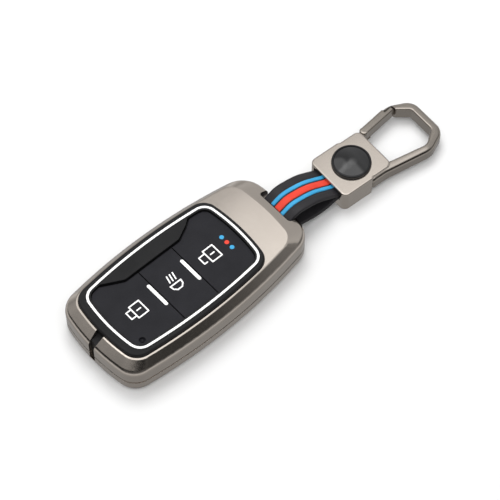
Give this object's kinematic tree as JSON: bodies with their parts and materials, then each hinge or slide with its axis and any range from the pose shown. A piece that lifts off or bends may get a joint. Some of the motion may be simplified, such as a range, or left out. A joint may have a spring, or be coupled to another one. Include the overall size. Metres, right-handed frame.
{
  "type": "key fob cover",
  "caption": "Metal and silicone cover for a vehicle key fob, with press-through key pads, a folded strap, a badge buckle and a sprung snap hook.",
  "frame": {"origin": "middle of the case's flat back face", "axes": "+X to the right of the key pads, +Y along the case towards the strap and hook, +Z out of the key pads"},
  "size_m": [0.0428, 0.149, 0.0152],
  "materials": {
    "satin_metal": "satin",
    "pin_steel": "satin",
    "black_silicone": "matte",
    "pad_silicone": "matte",
    "white_inlay": "matte",
    "red_silicone": "satin",
    "blue_silicone": "satin",
    "black_enamel": "gloss",
    "clear_black_dome": "gloss"
  },
  "bodies": {
    "rear_half": {"rear_shell": "satin_metal", "rear_sleeve": "black_silicone", "strap_bar": "pin_steel"},
    "front_half": {"front_shell": "satin_metal", "front_sleeve": "black_silicone", "glow_ring": "white_inlay"},
    "unlock_button": {"unlock_pad": "pad_silicone", "unlock_icon": "white_inlay", "accent_dots_blue": "blue_silicone", "accent_dot_red": "red_silicone"},
    "light_button": {"light_pad": "pad_silicone", "light_icon": "white_inlay", "light_pad_bar": "white_inlay"},
    "lock_button": {"lock_pad": "pad_silicone", "lock_icon": "white_inlay", "lock_pad_bar": "white_inlay"},
    "strap": {"strap": "black_silicone", "strap_rib_red": "red_silicone", "strap_ribs_blue": "blue_silicone"},
    "buckle": {"buckle_cover": "satin_metal", "badge_disc": "black_enamel", "badge_dome": "clear_black_dome", "snap_hook_frame": "satin_metal", "clamp_screws": "pin_steel", "gate_pin": "pin_steel", "gate_spring": "pin_steel"},
    "gate": {"gate": "satin_metal"}
  },
  "joints": [
    {"name": "case_open", "type": "slide", "parent": "rear_half", "child": "front_half", "axis": [0, 0, 1], "range_m": [0, 0.03]},
    {"name": "unlock_press", "type": "slide", "parent": "front_half", "child": "unlock_button", "axis": [0, 0, -1], "range_m": [0, 0.0008], "stiffness_N_per_m": 2500},
    {"name": "light_press", "type": "slide", "parent": "front_half", "child": "light_button", "axis": [0, 0, -1], "range_m": [0, 0.0008], "stiffness_N_per_m": 2500},
    {"name": "lock_press", "type": "slide", "parent": "front_half", "child": "lock_button", "axis": [0, 0, -1], "range_m": [0, 0.0008], "stiffness_N_per_m": 2500},
    {"name": "strap_swing", "type": "hinge", "parent": "rear_half", "child": "strap", "pos_m": [0, 0.03875, 0.0073], "axis": [1, 0, 0], "range_deg": [-40, 15]},
    {"name": "strap_flex", "type": "hinge", "parent": "strap", "child": "buckle", "pos_m": [0.00232, 0.05223, 0.0065], "axis": [0.9981, -0.061, 0], "range_deg": [-60, 60], "stiffness_Nm_per_rad": 0.003, "deforming": ["strap", "strap_rib_red", "strap_ribs_blue"]},
    {"name": "gate_open", "type": "hinge", "parent": "buckle", "child": "gate", "pos_m": [-0.00438, 0.0851, 0.0046], "axis": [0, 0, -1], "range_deg": [0, 28], "stiffness_Nm_per_rad": 0.03, "springref_deg": -20.05, "deforming": ["gate_spring"]}
  ]
}
